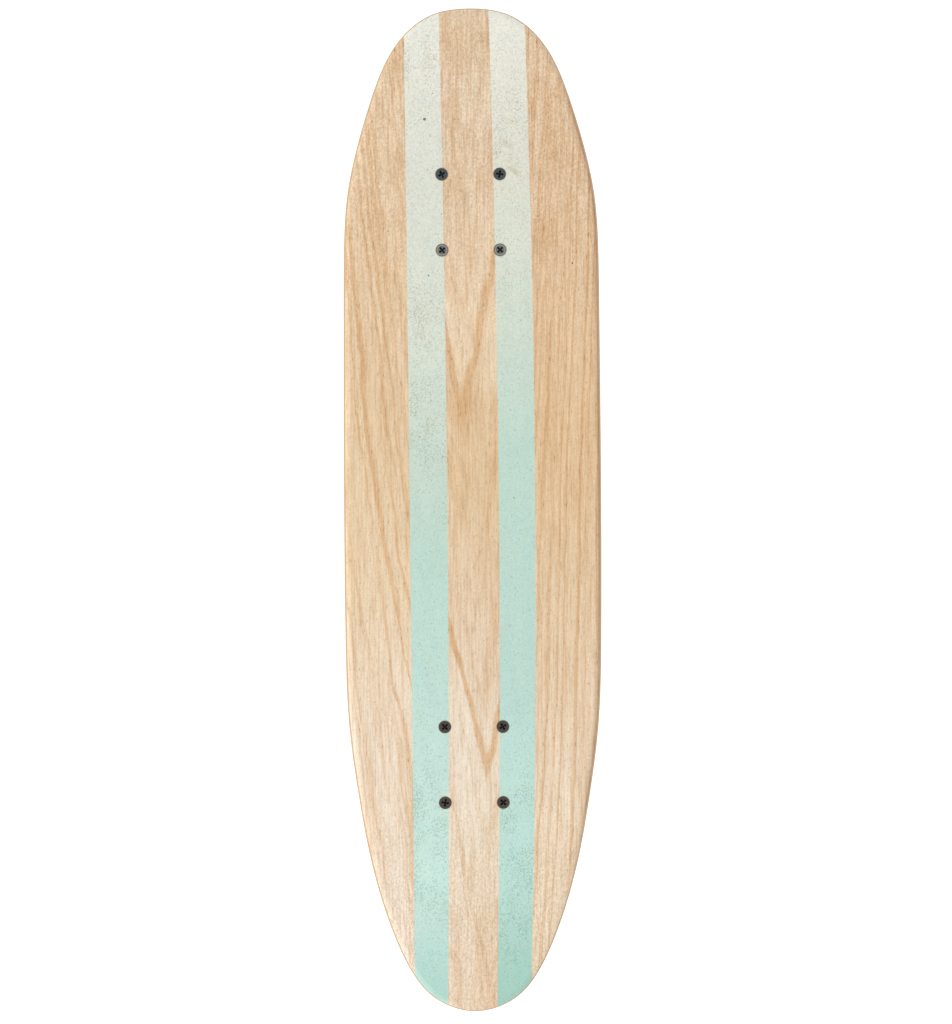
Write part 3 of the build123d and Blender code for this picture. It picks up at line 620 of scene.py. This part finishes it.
def core_plies():
    """The cut edges of the cross-laid plies: each has its own brown, with dark glue lines between."""
    graph = Graph("core_plies", roughness=0.62)
    low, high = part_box("deck_core_plies")
    ply = graph.math("DIVIDE", graph.minus(graph.z, MM * low.z), MM * (high.z - low.z) / CORE_PLIES)
    number = graph.math("FLOOR", ply)
    within = graph.math("FRACT", ply)
    tone = graph.noise(graph.point(graph.times(number, PLY_STEP), 0.5), detail=0.0)
    colour = graph.mix(graph.smooth(tone, *PLY_TONE_RANGE), DARK_PLY, PALE_PLY)
    fibres = graph.noise(graph.stretched(*PLY_FIBRE_SIZE), detail=3.0, roughness=0.65)
    ends = graph.noise(graph.stretched(PLY_END_SIZE), detail=2.0)
    light = graph.smooth(fibres, *WIDE_RANGE, *PLY_FIBRE_LIGHT)
    light = graph.times(light, graph.smooth(ends, *NOISE_RANGE, *PLY_END_LIGHT))
    glue = graph.smooth(graph.size(graph.minus(within, 0.5)), *GLUE_LINE, 0.0, GLUE_SHARE)
    graph.bump(graph.minus(fibres, glue), PLY_RELIEF)
    return graph.done(graph.mix(glue, graph.shade(colour, light), GLUE))


# --- Metal, rubber and plastic ------------------------------------------------------------------------------------

FINE_RELIEF = 0.00003
# Metal: duller patches, how much patches and grain lighten it, and where the patches turn dull
METAL_PATCH_SIZE = 9.0
METAL_PATCH_LIGHT = (0.9, 1.04)
METAL_GRAIN_LIGHT = (0.97, 1.03)
METAL_DULL_RANGE = (0.3, 0.75)
# Rubber, nylon and urethane: faint clouds and a moulded grain, and how far the clouds change the sheen
SOFT_CLOUD_SIZE = 12.0
SOFT_GRAIN_SIZE = 0.8
SOFT_DULLER = 0.08
SOFT_SHINIER = 0.05


def metal(name, colour, roughness, grain_mm=0.5, relief=FINE_RELIEF, spread=0.12):
    """Bare or plated metal with a fine grain and a few duller patches."""
    graph = Graph(name, roughness, metallic=1.0)
    grain = graph.noise(graph.stretched(grain_mm), detail=3.0, roughness=0.6)
    patches = graph.noise(graph.stretched(METAL_PATCH_SIZE), detail=4.0, roughness=0.6)
    light = graph.smooth(patches, *NOISE_RANGE, *METAL_PATCH_LIGHT)
    light = graph.times(light, graph.smooth(grain, *NOISE_RANGE, *METAL_GRAIN_LIGHT))
    graph.bump(grain, relief)
    dull = graph.smooth(patches, *METAL_DULL_RANGE, roughness + spread, roughness - spread / 2)
    return graph.done(graph.shade(colour, light), dull)


def soft(name, colour, roughness, relief=FINE_RELIEF, variation=0.06):
    """Rubber, nylon or urethane: an even colour with a fine moulded grain and faint clouds."""
    graph = Graph(name, roughness)
    grain = graph.noise(graph.stretched(SOFT_GRAIN_SIZE), detail=2.0, roughness=0.6)
    clouds = graph.noise(graph.stretched(SOFT_CLOUD_SIZE), detail=3.0, roughness=0.55)
    light = graph.smooth(clouds, *NOISE_RANGE, 1.0 - variation, 1.0 + variation)
    graph.bump(grain, relief)
    dull = graph.smooth(clouds, *NOISE_RANGE, roughness + SOFT_DULLER, roughness - SOFT_SHINIER)
    return graph.done(graph.shade(colour, light), dull)


# Bolt heads, in millimetres: how far the bare pair reaches along the board, how fast the bluer pair sets in, and the
# bare heads' bright ring and dark rim
BARE_REACH = (12.0, 10.0)
BLUE_FADE = 4.0
BRIGHT_RING_RADIUS = 3.5
BRIGHT_RING_EDGE = (0.6, 0.1)
DARK_RIM = (3.95, 4.3)
# Painted shade in the cross recess: the depths below the top in millimetres where it sets in, and how strong it is
RECESS_SHADE_DEPTH = (0.1, 0.5)
RECESS_SHADE_SHARE = 0.9
MOTTLE_SIZE = 0.7
MOTTLE_LIGHT = (0.82, 1.16)
MOTTLE_SHEEN = (0.5, 0.36)
BOLT_RELIEF = 0.00004
BLACK_COAT = srgb(84, 77, 73)
BLUE_COAT = srgb(82, 92, 93)
BARE_STEEL = srgb(124, 126, 121)
BRIGHT_STEEL = srgb(166, 168, 160)
DARK_RIM_TONE = srgb(74, 77, 75)
RECESS_SHADE_TONE = srgb(20, 19, 19)


def bolt_steel():
    """Blackened bolt heads. The inner front pair has lost its black coat, and the outer front pair is bluer."""
    graph = Graph("bolt_black_oxide", metallic=0.65)
    mottle = graph.noise(graph.stretched(MOTTLE_SIZE), detail=3.0, roughness=0.65)
    bare = graph.smooth(graph.size(graph.minus(graph.y, FRONT_BOLTS_Y - BOLT_SPREAD)), *BARE_REACH)
    blue = graph.smooth(graph.y, FRONT_BOLTS_Y, FRONT_BOLTS_Y + BLUE_FADE)
    apart = bolt_distance(graph)
    colour = graph.mix(blue, BLACK_COAT, BLUE_COAT)
    ring = graph.smooth(graph.size(graph.minus(apart, BRIGHT_RING_RADIUS)), *BRIGHT_RING_EDGE)
    silver = graph.mix(ring, BARE_STEEL, BRIGHT_STEEL)
    silver = graph.mix(graph.smooth(apart, *DARK_RIM), silver, DARK_RIM_TONE)
    colour = graph.mix(bare, colour, silver)
    colour = graph.shade(colour, graph.smooth(mottle, *NOISE_RANGE, *MOTTLE_LIGHT))
    # Painted shade: the cross recess turns near black with depth
    colour = graph.mix(graph.smooth(depth_below_top(graph), *RECESS_SHADE_DEPTH, 0.0, RECESS_SHADE_SHARE), colour, RECESS_SHADE_TONE)
    graph.bump(mottle, BOLT_RELIEF)
    return graph.done(colour, graph.smooth(mottle, *NOISE_RANGE, *MOTTLE_SHEEN))


# Wheels, in millimetres: where the tread starts, counted from the axle, and the texture of its wear
TREAD = (27.2, 28.9)
WHEEL_SCUFF_SIZE = (3.0, 9.0)
WHEEL_SCUFF_RANGE = (0.4, 0.75)
WHEEL_DIRT = (0.06, 0.24)
WHEEL_CLOUD_SIZE = (10.0, 12.0)
WHEEL_CLOUD_LIGHT = (0.97, 1.02)
WHEEL_GRIT_SIZE = 1.6
WHEEL_GRIT_AMOUNT = 0.05
WHEEL_GRIT_RADII = (0.12, 0.42)
WHEEL_GRIT_SHARE = 0.4
WHEEL_RELIEF = 0.00006
WHEEL_RELIEF_SHARES = (0.15, 1.0)
WHEEL_SHEEN = (0.34, 0.6)
CREAM = srgb(236, 228, 202)
WHEEL_DIRT_TONE = srgb(194, 186, 164)
WHEEL_GRIT_TONE = srgb(110, 102, 88)


def wheel_urethane(end):
    """Cream urethane, with a road-worn band on the tread and dust towards the lips."""
    axle = centre(f"{end}_axle")
    graph = Graph(f"wheel_urethane_{end}")
    radius = graph.length(graph.minus(graph.y, MM * axle.y), graph.minus(graph.z, MM * axle.z))
    tread = graph.smooth(radius, *TREAD)
    scuffs = graph.noise(graph.stretched(*WHEEL_SCUFF_SIZE), detail=4.0, roughness=0.6)
    clouds = graph.noise(graph.stretched(*WHEEL_CLOUD_SIZE), detail=3.0)
    colour = graph.shade(CREAM, graph.smooth(clouds, *NOISE_RANGE, *WHEEL_CLOUD_LIGHT))
    dirt = graph.times(tread, graph.smooth(scuffs, *WHEEL_SCUFF_RANGE, *WHEEL_DIRT))
    colour = graph.mix(dirt, colour, WHEEL_DIRT_TONE)
    grit = graph.specks(graph.stretched(WHEEL_GRIT_SIZE), graph.times(tread, WHEEL_GRIT_AMOUNT), *WHEEL_GRIT_RADII)
    colour = graph.mix(graph.times(grit, WHEEL_GRIT_SHARE), colour, WHEEL_GRIT_TONE)
    graph.bump(graph.times(scuffs, graph.smooth(tread, 0.0, 1.0, *WHEEL_RELIEF_SHARES)), WHEEL_RELIEF)
    return graph.done(colour, graph.smooth(tread, 0.0, 1.0, *WHEEL_SHEEN))


MATERIALS = {
    "cast": metal("cast_aluminium", (0.60, 0.61, 0.62, 1.0), 0.42, grain_mm=0.35, relief=0.00005),
    "zinc": metal("zinc_plated_steel", (0.62, 0.63, 0.65, 1.0), 0.3),
    "black_steel": metal("blackened_steel", (0.06, 0.06, 0.065, 1.0), 0.38),
    "bearing_steel": metal("ground_bearing_steel", (0.68, 0.69, 0.70, 1.0), 0.2, spread=0.06),
    "shield": metal("pressed_bearing_shield", (0.42, 0.43, 0.45, 1.0), 0.34),
    "rubber": soft("riser_rubber", srgb(44, 44, 46), 0.72, relief=0.00006),
    "nylon": soft("insert_nylon", srgb(66, 104, 170), 0.4),
    "cage": soft("cage_nylon", srgb(196, 176, 132), 0.45),
    "pivot": soft("pivot_urethane", srgb(58, 58, 60), 0.5),
    "bushing": soft("bushing_urethane", srgb(214, 150, 66), 0.34, variation=0.04),
}

CAD_FINISHES = {
    "deck_top_veneer": top_veneer(),
    "deck_bottom_veneer": bottom_veneer(),
    "deck_core_plies": core_plies(),
    "truck_bolts": bolt_steel(),
    "truck_nuts": MATERIALS["zinc"],
    "truck_nut_inserts": MATERIALS["nylon"],
    "kingpin_nut_inserts": MATERIALS["nylon"],
}
for end in ENDS:
    CAD_FINISHES |= {
        f"{end}_riser_pad": MATERIALS["rubber"],
        f"{end}_pivot_cup": MATERIALS["pivot"],
        f"{end}_kingpin": MATERIALS["black_steel"],
        f"{end}_kingpin_nut": MATERIALS["zinc"],
        f"{end}_upper_washer": MATERIALS["zinc"],
        f"{end}_lower_washer": MATERIALS["zinc"],
        f"{end}_axle": MATERIALS["zinc"],
        f"{end}_axle_nuts": MATERIALS["zinc"],
        f"{end}_axle_nut_inserts": MATERIALS["nylon"],
        f"{end}_speed_washers": MATERIALS["zinc"],
        f"{end}_bearing_spacers": MATERIALS["zinc"],
        f"{end}_bearing_inner_rings": MATERIALS["bearing_steel"],
    }
    urethane = wheel_urethane(end)
    for side in SIDES:
        place = f"{end}_{side}"
        CAD_FINISHES |= {
            f"{place}_wheel": urethane,
            f"{place}_bearing_outer_rings": MATERIALS["bearing_steel"],
            f"{place}_bearing_shields": MATERIALS["shield"],
            f"{place}_bearing_balls": MATERIALS["bearing_steel"],
            f"{place}_bearing_cages": MATERIALS["cage"],
        }
for node, material in CAD_FINISHES.items():
    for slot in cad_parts[node].material_slots:
        slot.material = material


# --- Cast trucks --------------------------------------------------------------------------------------------------

CAST_VOXEL = 0.0007
CAST_FILLET_FACTOR = 0.5
CAST_FILLET_STEPS = 7


def new_object(name, mesh, material):
    piece = bpy.data.objects.new(name, mesh)
    bpy.context.scene.collection.objects.link(piece)
    mesh.materials.clear()
    mesh.materials.append(material)
    for face in mesh.polygons:
        face.use_smooth = True
    return piece


def casting(node, body):
    """The CAD shape with the soft fillets of a sand casting where its faces meet."""
    rough = bpy.data.objects.new(f"{node}_rough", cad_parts[node].data.copy())
    bpy.context.scene.collection.objects.link(rough)
    fill = rough.modifiers.new("fill", "REMESH")
    fill.mode = "VOXEL"
    fill.voxel_size = CAST_VOXEL
    ease = rough.modifiers.new("ease", "SMOOTH")
    ease.factor = CAST_FILLET_FACTOR
    ease.iterations = CAST_FILLET_STEPS
    graph = bpy.context.evaluated_depsgraph_get()
    mesh = bpy.data.meshes.new_from_object(rough.evaluated_get(graph))
    bpy.data.objects.remove(rough)
    piece = new_object(f"{node}_casting", mesh, MATERIALS["cast"])
    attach(piece, body)
    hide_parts(node)
    return piece


# --- Bushings -----------------------------------------------------------------------------------------------------

BUSHING_BORE = 0.0052
BUSHING_SIDES = 64
BUSHING_ROWS = 14
BUSHING_BELLY = 0.0002
BUSHING_CORNER = 0.0009
BUSHING_CORNER_STEPS = 4
# The middle of each truck along the board, in metres, and which way leads away from the board's middle
TRUCK_PLACES = {"front": (FRONT_BOLTS_Y / MM, 1), "rear": (REAR_BOLTS_Y / MM, -1)}
PIN_SET_BACK = 0.012
PIN_LEAN = math.radians(18)
# Start and stop along the kingpin from the baseplate's top and the radius at each, in metres
BUSHING_SHAPES = {
    "upper": (0.0153, 0.0305, 0.0116, 0.0118),
    "lower": (0.0355, 0.0475, 0.0118, 0.0092),
}


def lathe(name, origin, axis, profile, material):
    """A closed ring turned about an axis. The profile's points are (distance along the axis, radius)."""
    turn = axis.to_track_quat("Z", "Y").to_matrix()
    work = bmesh.new()
    loops = []
    for step in range(BUSHING_SIDES):
        angle = 2 * math.pi * step / BUSHING_SIDES
        out = Vector((math.cos(angle), math.sin(angle), 0))
        loops.append([work.verts.new(origin + turn @ (out * radius + Vector((0, 0, height))))
                      for height, radius in profile])
    count = len(profile)
    for step in range(BUSHING_SIDES):
        here, there = loops[step], loops[(step + 1) % BUSHING_SIDES]
        for i in range(count):
            j = (i + 1) % count
            work.faces.new((here[i], here[j], there[j], there[i]))
    bmesh.ops.recalc_face_normals(work, faces=work.faces)
    mesh = bpy.data.meshes.new(name)
    work.to_mesh(mesh)
    work.free()
    return new_object(name, mesh, material)


def bushing_profile(length, near, far):
    """Outer wall from near to far radius with a slight belly, rounded corners, and a straight bore."""
    corner = BUSHING_CORNER
    shares = [row / BUSHING_ROWS for row in range(BUSHING_ROWS + 1)]
    outer = []
    for share in shares:
        height = corner + share * (length - 2 * corner)
        outer.append((height, near + (far - near) * share + BUSHING_BELLY * math.sin(math.pi * share)))
    arc = [math.pi / 2 * step / BUSHING_CORNER_STEPS for step in range(1, BUSHING_CORNER_STEPS)]
    rounds = [(corner * (1 - math.sin(angle)), corner * (1 - math.cos(angle))) for angle in arc]
    start = [(0.0, near - corner)] + [(drop, near - inset) for drop, inset in reversed(rounds)]
    stop = [(length - drop, far - inset) for drop, inset in rounds] + [(length, far - corner)]
    bore = [(length * (1 - share), BUSHING_BORE) for share in shares]
    return start + outer + stop + bore


def kingpin_point(end, distance):
    """The point on a truck's kingpin at a distance below the baseplate's top, along the pin."""
    y, outward = TRUCK_PLACES[end]
    across = PIN_SET_BACK + distance * math.sin(PIN_LEAN)
    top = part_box(f"{end}_baseplate")[1].z
    return Vector((0, y - outward * across, top - distance * math.cos(PIN_LEAN)))


def bushings(end):
    """Both cushions of a truck, each turned about the kingpin between the baseplate's side and the hanger's ring."""
    for name, (start, stop, near, far) in BUSHING_SHAPES.items():
        origin, tip = kingpin_point(end, start), kingpin_point(end, stop)
        profile = bushing_profile(stop - start, near, far)
        piece = lathe(f"{end}_{name}_bushing_soft", origin, (tip - origin).normalized(), profile, MATERIALS["bushing"])
        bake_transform(piece)
        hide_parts(f"{end}_{name}_bushing")


for end in ENDS:
    casting(f"{end}_baseplate", "deck")
    casting(f"{end}_hanger", f"{end}_hanger")
    bushings(end)


# --- Stage --------------------------------------------------------------------------------------------------------

WHITE = (1.0, 1.0, 1.0, 1.0)
FLOOR_HALF = 8.0
FLOOR_GREY = (0.42, 0.42, 0.42, 1.0)
# The painted shadow under the board, where the floor glows less, in millimetres, how square its ends are and where its
# edge fades
SHADOW_PATCH_HALF_WIDTH = 88.0
SHADOW_PATCH_HALF_LENGTH = 350.0
SHADOW_PATCH_SQUARENESS = 4.0
SHADOW_PATCH_EDGE = (0.6, 1.0)
FLOOR_GLOW = (0.12, 0.92)
SKY = 0.68
HORIZON = 1.0
SKY_FADE = (0.10, 0.40)
KEY_WATTS = 17.0
KEY_PLACE = Vector((-1.45, -0.5, 1.4))
KEY_SIZE = 1.3


def floor():
    """A plain white floor that glows like a light table, except for a painted shadow under the board, where the glow
    drops and the board's shade falls.
    """
    mesh = bpy.data.meshes.new("floor")
    corners = [(x * FLOOR_HALF, y * FLOOR_HALF, 0) for x, y in ((-1, -1), (1, -1), (1, 1), (-1, 1))]
    mesh.from_pydata(corners, [], [(0, 1, 2, 3)])
    graph = Graph("floor_white", roughness=0.9)
    across = graph.math("DIVIDE", graph.x, SHADOW_PATCH_HALF_WIDTH)
    along = graph.math("DIVIDE", graph.y, SHADOW_PATCH_HALF_LENGTH)
    reach = graph.plus(graph.times(across, across), graph.math("POWER", graph.size(along), SHADOW_PATCH_SQUARENESS))
    graph.shader.inputs["Emission Color"].default_value = WHITE
    # Painted shadow: the floor's glow drops inside the oval under the board
    graph.put(graph.shader.inputs["Emission Strength"], graph.smooth(reach, *SHADOW_PATCH_EDGE, *FLOOR_GLOW))
    graph.shader.inputs["Specular IOR Level"].default_value = 0.0
    piece = bpy.data.objects.new("floor", mesh)
    bpy.context.scene.collection.objects.link(piece)
    mesh.materials.append(graph.done(FLOOR_GREY))


def lights():
    world = bpy.data.worlds.new("studio")
    world.use_nodes = True
    nodes, links = world.node_tree.nodes, world.node_tree.links
    background = nodes["Background"]
    background.inputs["Color"].default_value = WHITE
    upward = nodes.new("ShaderNodeSeparateXYZ")
    links.new(nodes.new("ShaderNodeTexCoord").outputs["Generated"], upward.inputs[0])
    fade = nodes.new("ShaderNodeMapRange")
    fade.interpolation_type = "SMOOTHSTEP"
    fade.inputs["From Min"].default_value = SKY_FADE[0]
    fade.inputs["From Max"].default_value = SKY_FADE[1]
    fade.inputs["To Min"].default_value = HORIZON
    fade.inputs["To Max"].default_value = SKY
    links.new(upward.outputs["Z"], fade.inputs["Value"])
    links.new(fade.outputs[0], background.inputs["Strength"])
    bpy.context.scene.world = world
    lamp = bpy.data.lights.new("key", "AREA")
    lamp.energy = KEY_WATTS
    lamp.size = KEY_SIZE
    key = bpy.data.objects.new("key", lamp)
    key.location = KEY_PLACE
    key.rotation_euler = (-KEY_PLACE).to_track_quat("-Z", "Y").to_euler()
    bpy.context.scene.collection.objects.link(key)


LENS = 85.0
SENSOR = 36.0
SEEN_LENGTH = 0.7291
CAMERA_OFFSET = Vector((0.0024, -0.0016, 0.0))
CAMERA_ROLL = math.radians(-0.336)


def camera():
    """Straight above the board, nose up, with the picture's long side along the board."""
    data = bpy.data.cameras.new("camera")
    data.lens = LENS
    data.sensor_width = SENSOR
    piece = bpy.data.objects.new("camera", data)
    bpy.context.scene.collection.objects.link(piece)
    height = DECK_TOP + SEEN_LENGTH * LENS / SENSOR
    piece.location = CAMERA_OFFSET + Vector((0, 0, height))
    piece.rotation_euler = (0, 0, CAMERA_ROLL)
    bpy.context.scene.camera = piece


floor()
lights()
camera()
bpy.context.scene.view_settings.view_transform = "Standard"
